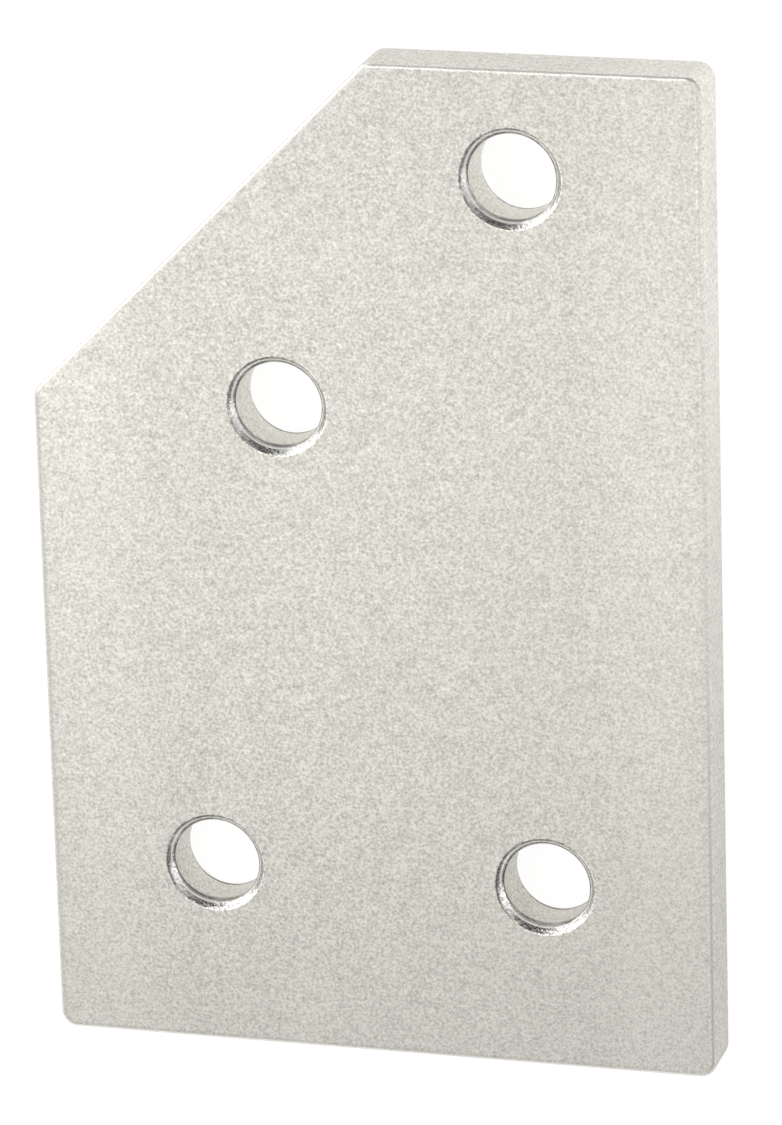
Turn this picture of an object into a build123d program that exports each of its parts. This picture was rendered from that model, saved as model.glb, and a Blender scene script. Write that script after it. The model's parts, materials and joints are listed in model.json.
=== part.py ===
from build123d import *
from math import cos, radians, sin, tan
import os

# Flat joining plate for one inch slotted framing bars.
# Two bolts hold it to a straight bar along its lower edge, and two more hold it to a bar that
# leaves at an angle, beside the slanting side. It is cut from one piece of aluminium plate.
# Frame: X runs across the plate, Y runs up it, and Z goes through its thickness, with the back
# face at Z = 0. The origin is in the middle of the plate's overall rectangle. Sizes are in
# millimetres and angles in degrees.

# The plate and its outline
plate_width = 50.8
plate_height = 76.2
plate_thickness = 4.775
bar_angle = 45.0  # between the lower edge and the slanting side, so between the two bars
corner_cut = 26.0  # length of top edge that the slanting side takes away
corner_radius = 1.2  # the outline's corners, seen from the front
edge_radius = 0.3  # tumbled rounding where the sides meet the two faces

# The bolt holes, drilled for a quarter inch bolt
bolt_hole_diameter = 6.53
bolt_hole_chamfer = 0.5
straight_pair_spacing = 25.4
straight_pair_inset = 14.3  # from the lower edge up to the hole centres
angled_pair_spacing = 25.4
angled_pair_inset = 13.2  # from the slanting side in to the hole centres
angled_pair_top_inset = 8.0  # from the top edge down to the upper hole's centre

# The rectangle's sides, and the two ends of the slanting side
angle = radians(bar_angle)
left = -plate_width / 2
right = plate_width / 2
bottom = -plate_height / 2
top = plate_height / 2
slant_top_end = (left + corner_cut, top)
slant_low_end = (left, top - corner_cut * tan(angle))

# The straight pair, level with the lower edge and centred across the plate
straight_pair_y = bottom + straight_pair_inset
straight_pair = [
    (-straight_pair_spacing / 2, straight_pair_y),
    (straight_pair_spacing / 2, straight_pair_y),
]

# The angled pair, on a line inside the slanting side and parallel to it
inset_across = angled_pair_inset / sin(angle)  # the inset, measured along X
upper_x = slant_top_end[0] + inset_across - angled_pair_top_inset / tan(angle)
upper_y = top - angled_pair_top_inset
angled_pair = [
    (upper_x, upper_y),
    (upper_x - angled_pair_spacing * cos(angle), upper_y - angled_pair_spacing * sin(angle)),
]

with BuildPart() as joining_plate:
    # The blank: a rectangle with its upper left corner cut off, its corners rounded
    with BuildSketch() as outline:
        with BuildLine():
            Polyline(
                (left, bottom),
                (right, bottom),
                (right, top),
                slant_top_end,
                slant_low_end,
                close=True,
            )
        make_face()
        fillet(outline.vertices(), radius=corner_radius)
    extrude(amount=plate_thickness)

    # Tumbling rounds the long edges of both faces a little
    edges_by_height = joining_plate.edges().group_by(Axis.Z)
    fillet(edges_by_height[0] + edges_by_height[-1], radius=edge_radius)

    # The four bolt holes go right through, and both rims of each are chamfered
    with Locations(*straight_pair, *angled_pair):
        Hole(radius=bolt_hole_diameter / 2)
    hole_rims = joining_plate.edges(Select.LAST).filter_by(GeomType.CIRCLE)
    chamfer(hole_rims, length=bolt_hole_chamfer)

joining_plate.part.label = "joining_plate"

os.makedirs("parts", exist_ok=True)
export_step(joining_plate.part, "parts/joining_plate.step")
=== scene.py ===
import json
from math import cos, radians, sin

import bpy
from mathutils import Euler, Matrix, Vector


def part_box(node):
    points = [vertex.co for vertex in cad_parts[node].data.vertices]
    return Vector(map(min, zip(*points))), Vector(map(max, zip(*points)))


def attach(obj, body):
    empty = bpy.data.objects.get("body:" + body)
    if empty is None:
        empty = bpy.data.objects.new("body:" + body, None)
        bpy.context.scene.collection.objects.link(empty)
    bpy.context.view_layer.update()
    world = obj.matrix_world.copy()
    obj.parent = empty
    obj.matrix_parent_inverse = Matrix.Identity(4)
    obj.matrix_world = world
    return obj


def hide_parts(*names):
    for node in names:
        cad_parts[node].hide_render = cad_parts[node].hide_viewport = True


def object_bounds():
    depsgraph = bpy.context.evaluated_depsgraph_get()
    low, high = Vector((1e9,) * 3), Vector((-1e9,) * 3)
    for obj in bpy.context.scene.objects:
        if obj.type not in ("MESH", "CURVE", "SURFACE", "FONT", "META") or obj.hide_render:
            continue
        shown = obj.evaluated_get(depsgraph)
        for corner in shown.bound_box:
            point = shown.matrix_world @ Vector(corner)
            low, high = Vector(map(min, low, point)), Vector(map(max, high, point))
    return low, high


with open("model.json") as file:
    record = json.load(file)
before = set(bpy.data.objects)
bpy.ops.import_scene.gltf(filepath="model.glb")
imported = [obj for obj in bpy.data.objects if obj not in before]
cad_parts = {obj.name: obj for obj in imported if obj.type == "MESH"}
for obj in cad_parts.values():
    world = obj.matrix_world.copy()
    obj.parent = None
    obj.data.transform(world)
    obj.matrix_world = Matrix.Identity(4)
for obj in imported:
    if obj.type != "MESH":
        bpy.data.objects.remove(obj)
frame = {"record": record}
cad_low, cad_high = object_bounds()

# -------------------------------------------------------------------------------------------------
# The joining plate
# One piece of rolled aluminium plate, sawn to shape, drilled and countersunk in four places, and
# tumbled until its edges are soft and its faces are matt.
# -------------------------------------------------------------------------------------------------
plate_low, plate_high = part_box("joining_plate")
plate_size = plate_high - plate_low
bolt_holes = [m for m in frame["record"]["mounts"] if m["kind"] == "bore"]
hole_radius = bolt_holes[0]["dims"]["r_mm"] / 1000

corner_cut = 0.026  # length of top edge that the slanting side takes away
bar_angle = radians(45)  # between the lower edge and the slanting side
corner_radius = 0.0012  # the outline's corners
corner_arc_steps = 10  # points of each of those corners
sawn_edge_radius = 0.00042  # tumbled rounding along the top, the bottom and the slanting side
side_edge_radius = 0.0006  # softer rounding along the left and right sides
edge_arc_steps = 7  # points of each rounding between a side and a face
face_margin = 0.00012  # flat metal kept beside every rounding
outline_step = 0.00025  # between two points of the outline

countersink_depth = 0.0005  # at each rim
countersink_slope = radians(45)
countersink_drift = (0.00003, -0.00013)  # set by hand, so off the bore's centre
dark_line_side = radians(145)  # the side of each hole where its rim lines are painted shade, darkest; away from it the countersink's rim line is a painted highlight
rim_radius = 0.00006  # tumbled rounding of the countersink's own two edges
rim_arc_steps = 3  # points of each of those
hole_steps = 144  # points round a hole

edge_unevenness = 0.00006  # how far tumbling has worn the edges here and there
side_wear_and_highlight = 0.25  # of the left and right sides, as a share of the sawn sides' wear and of their painted edge highlight
worn_patches = 900.0  # to a metre
tumbling_seed = 3.0
seam = 0.000001  # points nearer than this become one


def place(tree, kind, inputs=None, **settings):
    """Adds a node, sets its settings, and fills its inputs with values or with other outputs."""
    node = tree.nodes.new(kind)
    for name, value in settings.items():
        setattr(node, name, value)
    for key, value in (inputs or {}).items():
        if isinstance(value, bpy.types.NodeSocket):
            tree.links.new(value, node.inputs[key])
        else:
            node.inputs[key].default_value = value
    return node


def result(tree, kind, inputs=None, **settings):
    """The first output of a node placed in the same way."""
    return place(tree, kind, inputs, **settings).outputs[0]


def reckon(tree, operation, first, second=0.0, third=0.0):
    """The output of one Math node."""
    return result(tree, "ShaderNodeMath", {0: first, 1: second, 2: third}, operation=operation)


def ramp(tree, value, low, high, at_low, at_high, shape="LINEAR"):
    """A value carried from one range to another, and held at both ends."""
    ends = {"Value": value, "From Min": low, "From Max": high, "To Min": at_low, "To Max": at_high}
    return result(tree, "ShaderNodeMapRange", ends, interpolation_type=shape)


def vectors(tree, operation, first, second):
    """The output of one Vector Math node that takes two vectors and gives one."""
    return result(tree, "ShaderNodeVectorMath", {0: first, 1: second}, operation=operation)


def vector_number(tree, operation, first, second=(0.0, 0.0, 0.0)):
    """The number that one Vector Math node gives, such as a length or a dot product."""
    given = {0: first, 1: second}
    return place(tree, "ShaderNodeVectorMath", given, operation=operation).outputs["Value"]


def scaled(tree, vector, by):
    """A vector made longer or shorter."""
    return result(tree, "ShaderNodeVectorMath", {0: vector, "Scale": by}, operation="SCALE")


def share_of(tree, vector, axis):
    """One of the three parts of a vector."""
    return place(tree, "ShaderNodeSeparateXYZ", {"Vector": vector}).outputs[axis]


def joined(tree, parts):
    """Several pieces of geometry as one."""
    join = place(tree, "GeometryNodeJoinGeometry")
    for part in parts:
        tree.links.new(part, join.inputs[0])
    return join.outputs[0]


def kept(tree, geometry, name, value, domain, data_type):
    """The same geometry, with a value stored on it under a name."""
    given = {"Geometry": geometry, "Name": name, "Value": value}
    how = {"domain": domain, "data_type": data_type}
    return result(tree, "GeometryNodeStoreNamedAttribute", given, **how)


def recalled(tree, name, data_type):
    """A value that was stored on the geometry under a name."""
    return result(tree, "GeometryNodeInputNamedAttribute", {"Name": name}, data_type=data_type)


def polyline(tree, points, closed):
    """A curve of straight runs through points given as (x, y) numbers or outputs."""
    line = result(tree, "GeometryNodeMeshLine", {"Count": len(points)})
    choice = place(tree, "GeometryNodeIndexSwitch", data_type="VECTOR")
    while len(choice.index_switch_items) < len(points):
        choice.index_switch_items.new()
    tree.links.new(result(tree, "GeometryNodeInputIndex"), choice.inputs["Index"])
    for i, (x, y) in enumerate(points):
        corner = result(tree, "ShaderNodeCombineXYZ", {"X": x, "Y": y})
        tree.links.new(corner, choice.inputs[str(i)])
    moved = {"Geometry": line, "Position": choice.outputs[0]}
    line = result(tree, "GeometryNodeSetPosition", moved)
    curve = result(tree, "GeometryNodeMeshToCurve", {"Mesh": line})
    return result(tree, "GeometryNodeSetSplineCyclic", {"Geometry": curve, "Cyclic": closed})


def rounded(tree, curve, radius, steps):
    """The same curve with an arc at each of its corners."""
    given = {"Curve": curve, "Count": steps, "Radius": radius}
    return result(tree, "GeometryNodeFilletCurve", given, mode="POLY")


def swept(tree, path, profile):
    """The surface that a profile leaves when it is run round a level path."""
    path = result(tree, "GeometryNodeSetCurveNormal", {"Curve": path}, mode="Z_UP")
    return result(tree, "GeometryNodeCurveToMesh", {"Curve": path, "Profile Curve": profile})


def plate_tree(sizes, face_metal, cut_metal):
    """The tree that turns one vertex at each hole's centre into the whole plate."""
    tree = bpy.data.node_groups.new("joining_plate", "GeometryNodeTree")
    made_of = {"socket_type": "NodeSocketGeometry"}
    tree.interface.new_socket("Hole Centres", in_out="INPUT", **made_of)
    for name, size in sizes.items():
        kind = "NodeSocketInt" if isinstance(size, int) else "NodeSocketFloat"
        tree.interface.new_socket(name, in_out="INPUT", socket_type=kind)
    tree.interface.new_socket("Plate", in_out="OUTPUT", **made_of)
    given = place(tree, "NodeGroupInput").outputs
    thickness, countersink = given["Thickness"], given["Countersink"]
    edge_radius, margin = given["Edge Radius"], given["Face Margin"]
    half_thickness = reckon(tree, "MULTIPLY", thickness, 0.5)
    below_front = reckon(tree, "MULTIPLY", thickness, -1.0)  # the back face, from the front one
    spot = result(tree, "GeometryNodeInputPosition")
    normal = result(tree, "GeometryNodeInputNormal")

    # The outline: a rectangle with its upper left corner taken off, its corners rounded
    right = reckon(tree, "MULTIPLY", given["Width"], 0.5)
    left = reckon(tree, "MULTIPLY", given["Width"], -0.5)
    top = reckon(tree, "MULTIPLY", given["Height"], 0.5)
    bottom = reckon(tree, "MULTIPLY", given["Height"], -0.5)
    slant_x = reckon(tree, "ADD", left, given["Corner Cut"])
    steepness = reckon(tree, "TANGENT", given["Bar Angle"])
    slant_drop = reckon(tree, "MULTIPLY", given["Corner Cut"], steepness)
    slant_y = reckon(tree, "SUBTRACT", top, slant_drop)
    corners = [(left, bottom), (right, bottom), (right, top), (slant_x, top), (left, slant_y)]
    outline = polyline(tree, corners, True)
    outline = rounded(tree, outline, given["Corner Radius"], given["Corner Arc Steps"])
    even = {"Curve": outline, "Length": given["Outline Step"]}
    outline = result(tree, "GeometryNodeResampleCurve", even, mode="LENGTH")
    outline = kept(tree, outline, "outline_point", spot, "POINT", "FLOAT_VECTOR")

    # The edge profile, from the back face round the side to the front face, run round the outline
    inward = reckon(tree, "MULTIPLY", reckon(tree, "ADD", edge_radius, margin), -1.0)
    edge = [(inward, below_front), (0.0, below_front), (0.0, 0.0), (inward, 0.0)]
    edge = rounded(tree, polyline(tree, edge, False), edge_radius, given["Edge Arc Steps"])
    sides = swept(tree, outline, edge)

    # The rounding grows about the plate's sharp edge until it is soft enough at left and right
    foot = recalled(tree, "outline_point", "FLOAT_VECTOR")
    across = reckon(tree, "ABSOLUTE", share_of(tree, foot, "X"))
    corner_start = reckon(tree, "SUBTRACT", right, given["Corner Radius"])
    full_growth = reckon(tree, "DIVIDE", given["Side Edge Radius"], edge_radius)
    growth = ramp(tree, across, corner_start, right, 1.0, full_growth, "SMOOTHSTEP")
    upper = reckon(tree, "GREATER_THAN", share_of(tree, spot, "Z"), half_thickness)
    level = reckon(tree, "MULTIPLY", upper, thickness)
    sharp = vectors(tree, "ADD", foot, result(tree, "ShaderNodeCombineXYZ", {"Z": level}))
    reach = scaled(tree, vectors(tree, "SUBTRACT", spot, sharp), growth)
    grown = {"Geometry": sides, "Position": vectors(tree, "ADD", sharp, reach)}
    sides = result(tree, "GeometryNodeSetPosition", grown)

    # Tumbling wears it unevenly: the wear is 0 on flat metal and 1 halfway round the rounding. The
    # same mask, stored, also lightens the edges in the metal: partly real wear, partly a painted
    # highlight.
    uprightness = reckon(tree, "POWER", share_of(tree, normal, "Z"), 2.0)
    wear_and_highlight = reckon(tree, "MULTIPLY", uprightness, reckon(tree, "SUBTRACT", 1.0, uprightness))
    wear_and_highlight = reckon(tree, "MULTIPLY", wear_and_highlight, 4.0)
    wear_and_highlight_share = ramp(tree, across, corner_start, right, 1.0, given["Side Wear And Highlight"])
    wear_and_highlight = reckon(tree, "MULTIPLY", wear_and_highlight, wear_and_highlight_share)
    sides = kept(tree, sides, "edge_wear_and_highlight", wear_and_highlight, "POINT", "FLOAT")
    patches = {"Vector": spot, "W": given["Seed"], "Scale": given["Worn Patches"], "Detail": 2.0}
    patches = result(tree, "ShaderNodeTexNoise", patches, noise_dimensions="4D")
    depth = reckon(tree, "MULTIPLY", reckon(tree, "MULTIPLY", wear_and_highlight, patches), given["Unevenness"])
    inwards = scaled(tree, normal, reckon(tree, "MULTIPLY", depth, -1.0))
    worn = {"Geometry": sides, "Offset": inwards}
    sides = result(tree, "GeometryNodeSetPosition", worn)
    done = {"Geometry": sides, "Name": "outline_point"}
    sides = result(tree, "GeometryNodeRemoveAttribute", done)

    # The hole profile: face, countersink, bore, countersink, face. It is run round a circle, and
    # the drilled ring is set on each hole's centre.
    outer = reckon(tree, "ADD", countersink, margin)
    deep = reckon(tree, "MULTIPLY", countersink, -1.0)
    deeper = reckon(tree, "SUBTRACT", countersink, thickness)
    hole = [(outer, 0.0), (countersink, 0.0), (0.0, deep)]
    hole += [(0.0, deeper), (countersink, below_front), (outer, below_front)]
    hole = rounded(tree, polyline(tree, hole, False), given["Rim Radius"], given["Rim Arc Steps"])
    ring = {"Resolution": given["Hole Steps"], "Radius": given["Hole Radius"]}
    bore = swept(tree, result(tree, "GeometryNodeCurvePrimitiveCircle", ring), hole)
    slope = reckon(tree, "ABSOLUTE", share_of(tree, normal, "Z"))
    cut_slope = reckon(tree, "COSINE", given["Countersink Slope"])
    slope_tolerance = 0.03
    cut_face = reckon(tree, "COMPARE", slope, cut_slope, slope_tolerance)
    bore = kept(tree, bore, "cut_face", cut_face, "FACE", "BOOLEAN")
    off_middle = reckon(tree, "ADD", share_of(tree, spot, "Z"), half_thickness)
    cut_start = reckon(tree, "SUBTRACT", half_thickness, countersink)
    off_middle = reckon(tree, "ABSOLUTE", off_middle)
    up_the_cut = ramp(tree, off_middle, cut_start, half_thickness, 0.0, 1.0)
    drift = result(tree, "ShaderNodeCombineXYZ", {"X": given["Drift X"], "Y": given["Drift Y"]})
    drifted = {"Geometry": bore, "Offset": scaled(tree, drift, up_the_cut)}
    bore = result(tree, "GeometryNodeSetPosition", drifted)
    rings = {"Points": given["Hole Centres"], "Instance": bore}
    bores = result(tree, "GeometryNodeInstanceOnPoints", rings)
    flag = result(tree, "ShaderNodeCombineXYZ", {"Z": 1.0})  # tells drilled metal from the rest
    flagged = vectors(tree, "ADD", spot, flag)
    bores = kept(tree, bores, "hole_centre", flagged, "INSTANCE", "FLOAT_VECTOR")
    bores = result(tree, "GeometryNodeRealizeInstances", {"Geometry": bores})
    centre = recalled(tree, "hole_centre", "FLOAT_VECTOR")
    bores = kept(tree, bores, "hole_centre", centre, "CORNER", "FLOAT_VECTOR")

    # The flat faces fill what lies between the outline's and the holes' open rims
    round_the_edges = joined(tree, (sides, bores))
    faces_beside = place(tree, "GeometryNodeInputMeshEdgeNeighbors").outputs["Face Count"]
    open_edge = reckon(tree, "LESS_THAN", faces_beside, 1.5)
    below = reckon(tree, "ABSOLUTE", share_of(tree, spot, "Z"))
    at_back = reckon(tree, "GREATER_THAN", below, half_thickness)
    open_rim = reckon(tree, "MULTIPLY", open_edge, at_back)
    open_rims = {"Mesh": round_the_edges, "Selection": open_rim}
    open_rims = result(tree, "GeometryNodeMeshToCurve", open_rims)
    face = result(tree, "GeometryNodeFillCurve", {"Curve": open_rims})
    up = result(tree, "ShaderNodeCombineXYZ", {"Z": thickness})
    front = result(tree, "GeometryNodeTransform", {"Geometry": face, "Translation": up})
    back = result(tree, "GeometryNodeFlipFaces", {"Mesh": face})
    seams = {"Geometry": joined(tree, (round_the_edges, front, back)), "Distance": given["Seam"]}
    whole = result(tree, "GeometryNodeMergeByDistance", seams)
    whole = result(tree, "GeometryNodeSetShadeSmooth", {"Geometry": whole})

    whole = result(tree, "GeometryNodeRealizeInstances", {"Geometry": whole})
    covered = {"Geometry": whole, "Material": face_metal}
    whole = result(tree, "GeometryNodeSetMaterial", covered)
    drilled = recalled(tree, "cut_face", "BOOLEAN")
    covered = {"Geometry": whole, "Selection": drilled, "Material": cut_metal}
    whole = result(tree, "GeometryNodeSetMaterial", covered)
    place(tree, "NodeGroupOutput", {"Plate": whole})
    return tree


def shader_group(name, inputs, outputs):
    """An empty shader group with plain number inputs and outputs, and what its inputs hold."""
    group = bpy.data.node_groups.new(name, "ShaderNodeTree")
    for way, names in (("INPUT", inputs), ("OUTPUT", outputs)):
        for socket in names:
            group.interface.new_socket(socket, in_out=way, socket_type="NodeSocketFloat")
    return group, place(group, "NodeGroupInput").outputs


def noise(tree, where, scale, detail):
    """Noise that swings evenly about nought."""
    given = {"Vector": where, "Scale": scale, "Detail": detail}
    return reckon(tree, "SUBTRACT", result(tree, "ShaderNodeTexNoise", given), 0.5)


def metal_grain():
    """The metal's skin: a speckle of pits and high spots, faint rolling streaks, slow clouding, and
    painted light along the side margins.
    """
    fine_spots, coarse_spots, clouds = 5100.0, 2600.0, 500.0  # to a metre
    streaks = (300.0, 3000.0, 3000.0)  # to a metre, so they are ten times as long as wide
    streak_height = 0.3
    grainy_from, grainy_to, grainier = 0.0, -0.03, 1.24  # the lower end is grainier, down from here
    margin_light_from, margin_light_to, lightening = 0.0145, 0.0215, 0.05  # painted light: the face is lightened toward its left and right sides, between these distances

    inputs = ("Speckle", "Coarse Speckle", "Streak", "Clouding")
    group, given = shader_group("aluminium_grain_and_margin_light", inputs, ("Shade", "Height"))
    here = place(group, "ShaderNodeTexCoord").outputs["Object"]
    fine = noise(group, here, fine_spots, detail=2.0)
    coarse = noise(group, here, coarse_spots, detail=1.0)
    along = result(group, "ShaderNodeMapping", {"Vector": here, "Scale": streaks})
    streak = noise(group, along, 1.0, detail=2.0)
    cloud = noise(group, here, clouds, detail=3.0)
    up_plate = share_of(group, here, "Y")
    graininess = ramp(group, up_plate, grainy_from, grainy_to, 1.0, grainier)
    strong = reckon(group, "MULTIPLY", fine, graininess)
    shade = reckon(group, "MULTIPLY_ADD", strong, given["Speckle"], 1.0)
    shade = reckon(group, "MULTIPLY_ADD", coarse, given["Coarse Speckle"], shade)
    shade = reckon(group, "MULTIPLY_ADD", streak, given["Streak"], shade)
    shade = reckon(group, "MULTIPLY_ADD", cloud, given["Clouding"], shade)
    height = reckon(group, "MULTIPLY_ADD", streak, streak_height, coarse)
    height = reckon(group, "ADD", fine, height)
    across = reckon(group, "ABSOLUTE", share_of(group, here, "X"))
    # Painted light toward the left and right sides
    painted_margin_light = ramp(group, across, margin_light_from, margin_light_to, 0.0, lightening, "SMOOTHSTEP")
    shade = reckon(group, "ADD", shade, painted_margin_light)
    place(group, "NodeGroupOutput", {"Shade": shade, "Height": height})
    return group


def drilled_rims_and_painted_light():
    """What drilling leaves, burrs and chatter, with painted shade lines along each rim and a
    burnished line that is partly a painted highlight.
    """
    back_spread, front_spread = 0.9, 0.33  # what counts of a distance down the bore's wall
    widening_off_dark_side = 2.4  # of the inner painted shade line, away from the darker side
    nearness_on_dark_side = 0.42  # what counts of a distance in from the rim, on the darker side
    darkness_off_dark_side, darkness_on_dark_side = -0.7, 0.9  # of the outer line: painted shade on the darker side, a painted highlight away from it
    # Where each turns from what it is away from the darker side to what it is on it, by cosine
    widening_turn, nearness_turn, darkness_turn = (-0.7, 0.2), (-0.2, 0.6), (-0.4, 0.4)
    rim_changeover = 0.0001  # above and below the plate's middle, between the two rims' spreads
    faded = 0.4  # what is left of a line where it fades
    fading_swing = (-0.15, 0.1)  # of the patches, from faded to whole
    fading_patches, burr_specks = 700.0, 4200.0  # to a metre
    burnish_highlight_place, burr_reach = 1.8, 2.5  # in line widths
    chatter_marks = 5.0

    inputs = ("Hole Radius", "Countersink", "Drift X", "Drift Y", "Thickness", "Line Width")
    outputs = ("Line", "Burnish And Highlight", "Burr", "Chatter", "Bore")
    group, given = shader_group("drilled_rims_and_painted_light", inputs, outputs)
    width = given["Line Width"]
    here = place(group, "ShaderNodeTexCoord").outputs["Object"]
    centre = place(group, "ShaderNodeAttribute", attribute_name="hole_centre").outputs["Vector"]
    on_hole = share_of(group, centre, "Z")

    # How far a point is from the bore's edge, below the face, and from the countersink's rim
    away = vectors(group, "SUBTRACT", here, centre)
    away = vectors(group, "MULTIPLY", away, (1.0, 1.0, 0.0))
    out = reckon(group, "SUBTRACT", vector_number(group, "LENGTH", away), given["Hole Radius"])
    half = reckon(group, "MULTIPLY", given["Thickness"], 0.5)
    off_middle = reckon(group, "SUBTRACT", share_of(group, here, "Z"), half)
    depth = reckon(group, "SUBTRACT", half, reckon(group, "ABSOLUTE", off_middle))
    beyond = reckon(group, "SUBTRACT", depth, given["Countersink"])
    drift = result(group, "ShaderNodeCombineXYZ", {"X": given["Drift X"], "Y": given["Drift Y"]})
    cut_radius = vector_number(group, "LENGTH", vectors(group, "SUBTRACT", away, drift))
    cut_rim = reckon(group, "ADD", given["Hole Radius"], given["Countersink"])
    past_rim = reckon(group, "SUBTRACT", cut_radius, cut_rim)

    # 1 toward the side where the rim lines are painted darkest, and -1 away from it
    heading = result(group, "ShaderNodeVectorMath", {0: away}, operation="NORMALIZE")
    dark_line_heading = (cos(dark_line_side), sin(dark_line_side), 0.0)
    to_dark_side = vector_number(group, "DOT_PRODUCT", heading, dark_line_heading)

    def line(distance, line_width):
        """1 where the distance is nought, and 0 from the line's width on."""
        off_line = reckon(group, "ABSOLUTE", distance)
        return ramp(group, off_line, 0.0, line_width, 1.0, 0.0, "SMOOTHSTEP")

    # The line at the bore's edge, painted shade. Distances are taken down the countersink's slope,
    # and more slowly down the bore's wall, where the front rim's line spreads further. It is wider
    # away from the darker side.
    changeover = (-rim_changeover, rim_changeover)
    spread = ramp(group, off_middle, *changeover, back_spread, front_spread)
    down_bore = reckon(group, "MULTIPLY", reckon(group, "MAXIMUM", beyond, 0.0), spread)
    inner = reckon(group, "SUBTRACT", out, down_bore)
    widening = ramp(group, to_dark_side, *widening_turn, widening_off_dark_side, 1.0)
    inner_line = line(inner, reckon(group, "MULTIPLY", width, widening))

    # The line at the countersink's rim: painted shade that reaches further in on the darker side,
    # and away from it turns into a painted highlight.
    inside_rim = reckon(group, "MAXIMUM", reckon(group, "MULTIPLY", past_rim, -1.0), 0.0)
    nearness = ramp(group, to_dark_side, *nearness_turn, 1.0, nearness_on_dark_side)
    inside_rim = reckon(group, "MULTIPLY", inside_rim, nearness)
    from_rim = reckon(group, "ADD", inside_rim, reckon(group, "MAXIMUM", past_rim, 0.0))
    darkness = ramp(group, to_dark_side, *darkness_turn, darkness_off_dark_side, darkness_on_dark_side)
    outer_line = reckon(group, "MULTIPLY", line(from_rim, width), darkness)

    # Both lines fade here and there
    patches = noise(group, here, fading_patches, detail=2.0)
    patches = ramp(group, patches, *fading_swing, faded, 1.0)
    dark = reckon(group, "ADD", inner_line, outer_line)
    dark = reckon(group, "MULTIPLY", reckon(group, "MULTIPLY", dark, patches), on_hole)

    # A burnished line beside the inner one, partly a painted highlight, and specks of burr along
    # the rim
    beside = reckon(group, "SUBTRACT", out, reckon(group, "MULTIPLY", width, burnish_highlight_place))
    burnish_and_highlight = reckon(group, "MULTIPLY", line(beside, width), on_hole)
    burr = line(past_rim, reckon(group, "MULTIPLY", width, burr_reach))
    burr = reckon(group, "MULTIPLY", burr, noise(group, here, burr_specks, detail=1.0))
    burr = reckon(group, "MULTIPLY", burr, on_hole)

    chatter = noise(group, heading, chatter_marks, detail=3.0)
    in_bore = reckon(group, "MULTIPLY", reckon(group, "GREATER_THAN", beyond, 0.0), on_hole)
    found = {"Line": dark, "Burnish And Highlight": burnish_and_highlight, "Burr": burr, "Chatter": chatter, "Bore": in_bore}
    place(group, "NodeGroupOutput", found)
    return group


grain_and_margin_group = metal_grain()
rim_group = drilled_rims_and_painted_light()
grain_shares = {"Speckle": 1.0, "Coarse Speckle": 0.24, "Streak": 0.1, "Clouding": 0.08}
rim_measures = {
    "Hole Radius": hole_radius,
    "Countersink": countersink_depth,
    "Drift X": countersink_drift[0],
    "Drift Y": countersink_drift[1],
    "Thickness": plate_size.z,
    "Line Width": 0.0001,
}
# How much each mark adds to the metal's shade, and how much the painted shade lines take away.
# The bores' share is painted light, and the edges' share is partly a painted highlight.
wear_and_highlight_shade, painted_bore_light, burr_shade, painted_rim_shade = 0.3, 0.08, 1.6, -0.8
# What the grain and the wear add to its roughness
grain_roughness, wear_roughness = -0.5, -0.25
# What burnishing and wear take from its metallic look, which turns those places whiter, partly as a
# painted highlight
burnish_highlight_whiteness, wear_highlight_whiteness = -0.8, -0.5


def metal(name, colour, speckle, roughness, bump, chatter):
    """An aluminium finish: its shade and roughness follow the grain, and its edges are lightened,
    partly by wear and partly as a painted highlight.
    """
    material = bpy.data.materials.new(name)
    material.use_nodes = True
    tree = material.node_tree
    shader = tree.nodes["Principled BSDF"]
    skin = place(tree, "ShaderNodeGroup", node_tree=grain_and_margin_group)
    for socket, share in grain_shares.items():
        skin.inputs[socket].default_value = speckle * share
    marks = place(tree, "ShaderNodeGroup", node_tree=rim_group)
    for socket, measure in rim_measures.items():
        marks.inputs[socket].default_value = measure
    skin, marks = skin.outputs, marks.outputs
    wear_and_highlight = place(tree, "ShaderNodeAttribute", attribute_name="edge_wear_and_highlight").outputs["Fac"]

    # Painted highlight: worn edges and the burnished rim line are lightened, partly for real wear
    lightening = reckon(tree, "MAXIMUM", wear_and_highlight, marks["Burnish And Highlight"])
    shade = reckon(tree, "MULTIPLY_ADD", lightening, wear_and_highlight_shade, skin["Shade"])
    # Painted light: the bore walls are lightened
    shade = reckon(tree, "MULTIPLY_ADD", marks["Bore"], painted_bore_light, shade)
    shade = reckon(tree, "MULTIPLY_ADD", marks["Chatter"], chatter, shade)
    shade = reckon(tree, "MULTIPLY_ADD", marks["Burr"], burr_shade, shade)
    # Painted shade: the dark rim lines darken the metal
    lined = reckon(tree, "MULTIPLY_ADD", marks["Line"], painted_rim_shade, 1.0)
    shade = reckon(tree, "MULTIPLY", shade, lined)
    tree.links.new(scaled(tree, colour, shade), shader.inputs["Base Color"])

    unevenness = reckon(tree, "SUBTRACT", skin["Shade"], 1.0)
    rough = reckon(tree, "MULTIPLY_ADD", unevenness, grain_roughness, roughness)
    rough = reckon(tree, "MULTIPLY_ADD", wear_and_highlight, wear_roughness, rough)
    tree.links.new(rough, shader.inputs["Roughness"])
    relief = {"Strength": 1.0, "Distance": bump, "Height": skin["Height"]}
    tree.links.new(result(tree, "ShaderNodeBump", relief), shader.inputs["Normal"])
    # Painted highlight: the burnished line and the worn edges turn less metallic, and so whiter
    metallic = reckon(tree, "MULTIPLY_ADD", marks["Burnish And Highlight"], burnish_highlight_whiteness, 1.0)
    metallic = reckon(tree, "MULTIPLY_ADD", wear_and_highlight, wear_highlight_whiteness, metallic)
    tree.links.new(metallic, shader.inputs["Metallic"])
    return material


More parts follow.
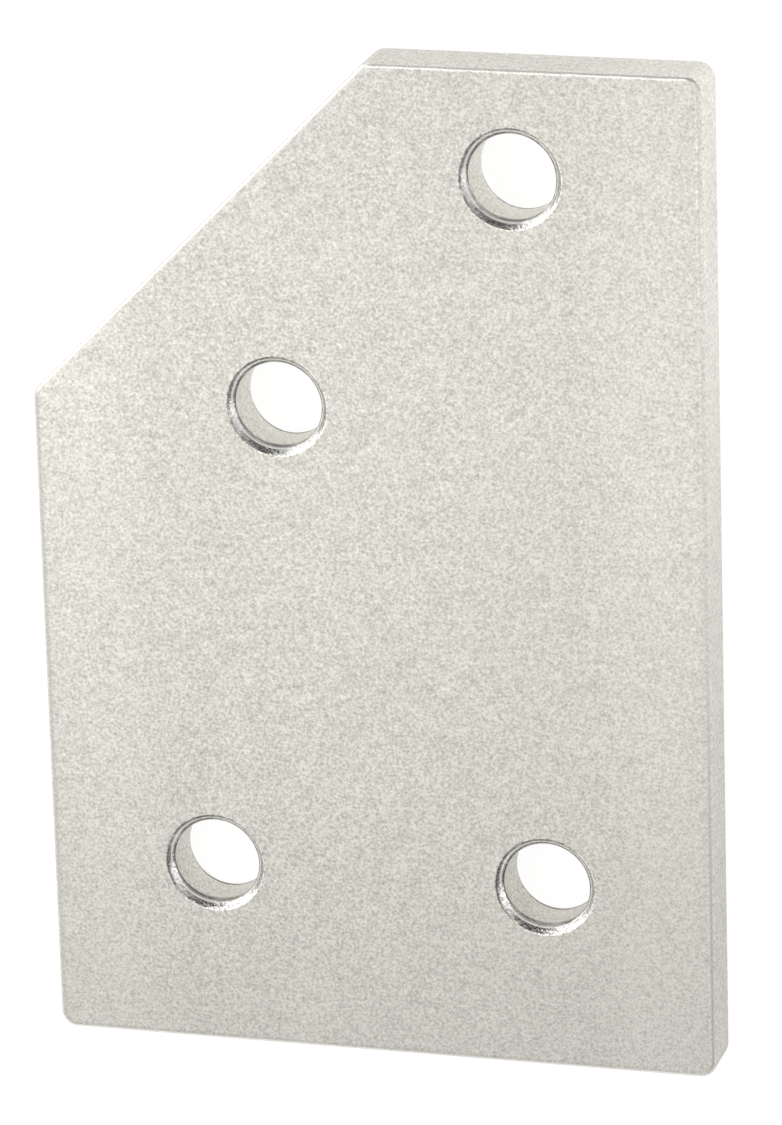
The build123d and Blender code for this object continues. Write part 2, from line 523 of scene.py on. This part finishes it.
tumbled_aluminium = metal(
    "tumbled_aluminium",
    colour=(0.72, 0.70, 0.645),
    speckle=0.88,
    roughness=0.52,
    bump=0.000005,
    chatter=0.0,
)
countersunk_aluminium = metal(
    "countersunk_aluminium",
    colour=(0.80, 0.79, 0.76),
    speckle=1.1,
    roughness=0.3,
    bump=0.00003,
    chatter=0.5,
)

plate_sizes = {
    "Width": plate_size.x,
    "Height": plate_size.y,
    "Thickness": plate_size.z,
    "Corner Cut": corner_cut,
    "Bar Angle": bar_angle,
    "Corner Radius": corner_radius,
    "Corner Arc Steps": corner_arc_steps,
    "Edge Radius": sawn_edge_radius,
    "Side Edge Radius": side_edge_radius,
    "Edge Arc Steps": edge_arc_steps,
    "Face Margin": face_margin,
    "Outline Step": outline_step,
    "Hole Radius": hole_radius,
    "Hole Steps": hole_steps,
    "Countersink": countersink_depth,
    "Countersink Slope": countersink_slope,
    "Drift X": countersink_drift[0],
    "Drift Y": countersink_drift[1],
    "Rim Radius": rim_radius,
    "Rim Arc Steps": rim_arc_steps,
    "Unevenness": edge_unevenness,
    "Side Wear And Highlight": side_wear_and_highlight,
    "Worn Patches": worn_patches,
    "Seed": tumbling_seed,
    "Seam": seam,
}
centres = bpy.data.meshes.new("joining_plate")
centres.from_pydata([(*m["pos_m"][:2], 0.0) for m in bolt_holes], [], [])
maker = bpy.data.objects.new("plate_maker", centres)
bpy.context.scene.collection.objects.link(maker)
modifier = maker.modifiers.new("plate", "NODES")
modifier.node_group = plate_tree(plate_sizes, tumbled_aluminium, countersunk_aluminium)
for item in modifier.node_group.interface.items_tree:
    if item.item_type == "SOCKET" and item.name in plate_sizes:
        modifier[item.identifier] = plate_sizes[item.name]
bpy.context.view_layer.update()
finished = maker.evaluated_get(bpy.context.evaluated_depsgraph_get())
surface = bpy.data.meshes.new_from_object(finished)
surface.materials.pop(index=0)  # the empty slot that swept curves start with
plate = bpy.data.objects.new("joining_plate_surface", surface)
bpy.context.scene.collection.objects.link(plate)
bpy.data.objects.remove(maker)

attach(plate, "root")
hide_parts("joining_plate")

# -------------------------------------------------------------------------------------------------
# The table
# A flat board with white lacquer that the plate lies on, large enough to reach past every view. It
# takes the plate's soft shadow and reads as white to the eye. It also glows, and the glow that the
# metal mirrors is a painted reflection: dimmer by the plate's lower end, stronger at its right and
# weaker past its top edge.
# -------------------------------------------------------------------------------------------------
table_reach = 3.0  # from the middle to each side
lacquer_white = 0.8  # what the lamps light on it, for the light that it sheds on the plate
shadowed_white = 0.22  # the same where it is seen, under its own glow
glow_to_eye = 0.86
lower_end, upper_end = -0.03, 0.045  # the glow that the metal mirrors grows between these, up Y
glow_lower_left, glow_lower_right, glow_upper = 0.72, 0.62, 0.90
left_of_middle, right_of_middle = -0.015, 0.02  # between these the lower end's glow fades, along X
beside_plate = (0.024, 0.026)  # past this, at the right, the glow is stronger
stronger_lower, stronger_upper = 0.02, 0.22
past_top_edge = (0.037, 0.041)  # past this, beyond the top edge, it is weaker
weaker = -0.06

table_mesh = bpy.data.meshes.new("table_top")
table_corners = [(-1, -1), (1, -1), (1, 1), (-1, 1)]
table_corners = [(x * table_reach, y * table_reach, cad_low.z) for x, y in table_corners]
table_mesh.from_pydata(table_corners, [], [(0, 1, 2, 3)])
table_top = bpy.data.objects.new("table_top", table_mesh)
bpy.context.scene.collection.objects.link(table_top)

white_table = bpy.data.materials.new("white_table")
white_table.use_nodes = True
lacquer_and_glow = white_table.node_tree
lacquer_and_glow.nodes.clear()
paint = {"Color": (lacquer_white, lacquer_white, lacquer_white, 1)}
paint = result(lacquer_and_glow, "ShaderNodeBsdfDiffuse", paint)
thin_paint = {"Color": (shadowed_white, shadowed_white, shadowed_white, 1)}
thin_paint = result(lacquer_and_glow, "ShaderNodeBsdfDiffuse", thin_paint)
ray = place(lacquer_and_glow, "ShaderNodeLightPath").outputs
on_table = place(lacquer_and_glow, "ShaderNodeTexCoord").outputs["Object"]
along_table, up_table = share_of(lacquer_and_glow, on_table, "X"), share_of(lacquer_and_glow, on_table, "Y")

# Painted reflection: the glow that the metal mirrors changes across the table
at_right = ramp(lacquer_and_glow, along_table, *beside_plate, 0.0, 1.0)
stronger = ramp(lacquer_and_glow, up_table, lower_end, upper_end, stronger_lower, stronger_upper)
stronger = reckon(lacquer_and_glow, "MULTIPLY", at_right, stronger)
fading = (left_of_middle, right_of_middle, glow_lower_left, glow_lower_right)
glow_lower = ramp(lacquer_and_glow, along_table, *fading)
in_metal = ramp(lacquer_and_glow, up_table, lower_end, upper_end, glow_lower, glow_upper, "SMOOTHSTEP")
in_metal = reckon(lacquer_and_glow, "ADD", in_metal, stronger)
beyond_top = ramp(lacquer_and_glow, up_table, *past_top_edge, 0.0, weaker)
in_metal = reckon(lacquer_and_glow, "ADD", in_metal, beyond_top)
to_eye = reckon(lacquer_and_glow, "SUBTRACT", glow_to_eye, in_metal)
to_eye = reckon(lacquer_and_glow, "MULTIPLY", ray["Is Camera Ray"], to_eye)
glow = {"Strength": reckon(lacquer_and_glow, "ADD", in_metal, to_eye)}
glow = result(lacquer_and_glow, "ShaderNodeEmission", glow)
veil = result(lacquer_and_glow, "ShaderNodeAddShader", {0: thin_paint, 1: glow})
seen = reckon(lacquer_and_glow, "MAXIMUM", ray["Is Camera Ray"], ray["Is Glossy Ray"])
seen = reckon(lacquer_and_glow, "MAXIMUM", seen, ray["Is Transmission Ray"])
coat = result(lacquer_and_glow, "ShaderNodeMixShader", {0: seen, 1: paint, 2: veil})
place(lacquer_and_glow, "ShaderNodeOutputMaterial", {"Surface": coat})
table_mesh.materials.append(white_table)

# -------------------------------------------------------------------------------------------------
# The room and its lamps
# A room with pale walls, darker in a far corner and at the right, with three soft windows. Fabric
# softboxes hang over and around the plate, and a wide low one stands at its far left.
# -------------------------------------------------------------------------------------------------
wall_brightness = 0.59
wall_brightness_to_eye = 1.0

room = bpy.data.worlds.new("pale_room")
bpy.context.scene.world = room
room.use_nodes = True
air = room.node_tree
air.nodes.clear()
direction = place(air, "ShaderNodeTexCoord").outputs["Generated"]


def toward(place_in_room, edge, middle, change):
    """A change of brightness toward one place, over the cosine of the angle from it."""
    nearness = vector_number(air, "DOT_PRODUCT", direction, Vector(place_in_room).normalized())
    return ramp(air, nearness, edge, middle, 0.0, change, "SMOOTHSTEP")


dark_corner = toward((0.22, 0.89, 0.36), edge=0.74, middle=0.88, change=-0.56)
dark_side = toward((0.87, -0.45, 0.20), edge=0.88, middle=0.97, change=-0.50)
side_window = toward((0.57, -0.30, 0.76), edge=0.90, middle=0.97, change=0.28)
far_window = toward((-0.28, 0.58, 0.77), edge=0.9, middle=0.97, change=0.5)
corner_window = toward((0.47, 0.43, 0.77), edge=0.92, middle=0.98, change=0.8)
brightness = reckon(air, "ADD", dark_corner, wall_brightness)
for change in (dark_side, side_window, far_window, corner_window):
    brightness = reckon(air, "ADD", brightness, change)
white = (1, 1, 1, 1)
lit_walls = {"Color": white, "Strength": brightness}
lit_walls = result(air, "ShaderNodeBackground", lit_walls)
plain_walls = {"Color": white, "Strength": wall_brightness_to_eye}
plain_walls = result(air, "ShaderNodeBackground", plain_walls)
camera_ray = place(air, "ShaderNodeLightPath").outputs["Is Camera Ray"]
around = result(air, "ShaderNodeMixShader", {0: camera_ray, 1: lit_walls, 2: plain_walls})
place(air, "ShaderNodeOutputWorld", {"Surface": around})


def softbox(name, where, width, height, power):
    """A rectangular soft lamp that faces the plate."""
    lamp = bpy.data.lights.new(name, "AREA")
    lamp.shape = "RECTANGLE"
    lamp.size, lamp.size_y = width, height
    lamp.energy = power
    holder = bpy.data.objects.new(name, lamp)
    holder.location = where
    holder.rotation_euler = Vector(where).to_track_quat("Z", "Y").to_euler()
    holder.visible_camera = False
    bpy.context.scene.collection.objects.link(holder)


softbox("front_softbox", (-0.039, -0.024, 0.13), width=0.08, height=0.08, power=0.0160)
softbox("left_softbox", (-0.14, 0.0, 0.18), width=0.08, height=0.08, power=0.036)
softbox("right_softbox", (0.055, 0.0, 0.12), width=0.03, height=0.03, power=0.010)
softbox("side_softbox", (0.17, -0.015, 0.055), width=0.07, height=0.08, power=0.022)
softbox("far_softbox", (-0.12, 0.265, 0.30), width=0.16, height=0.22, power=0.21)
softbox("left_strip_softbox", (-0.50, 0.31, 0.10), width=0.54, height=0.22, power=0.8)

# -------------------------------------------------------------------------------------------------
# The camera
# It looks down on the lying plate from beyond its upper right corner, through a long lens.
# -------------------------------------------------------------------------------------------------
camera_turn = Euler((radians(-18.973), radians(15.604), radians(-1.647)))
camera_aim = Vector((0.000953, -0.000225, (cad_low.z + cad_high.z) / 2))
camera_distance = 0.51628
focal_length = 225.49  # in millimetres, for the sensor below
sensor_width = 36.0
nearest_seen = 0.01

lens = bpy.data.cameras.new("camera")
lens.lens = focal_length
lens.sensor_width = sensor_width
lens.clip_start = nearest_seen
camera = bpy.data.objects.new("camera", lens)
camera.rotation_euler = camera_turn
camera.location = camera_aim + camera_turn.to_matrix() @ Vector((0, 0, camera_distance))
bpy.context.scene.collection.objects.link(camera)
bpy.context.scene.camera = camera
bpy.context.scene.view_settings.view_transform = "Standard"
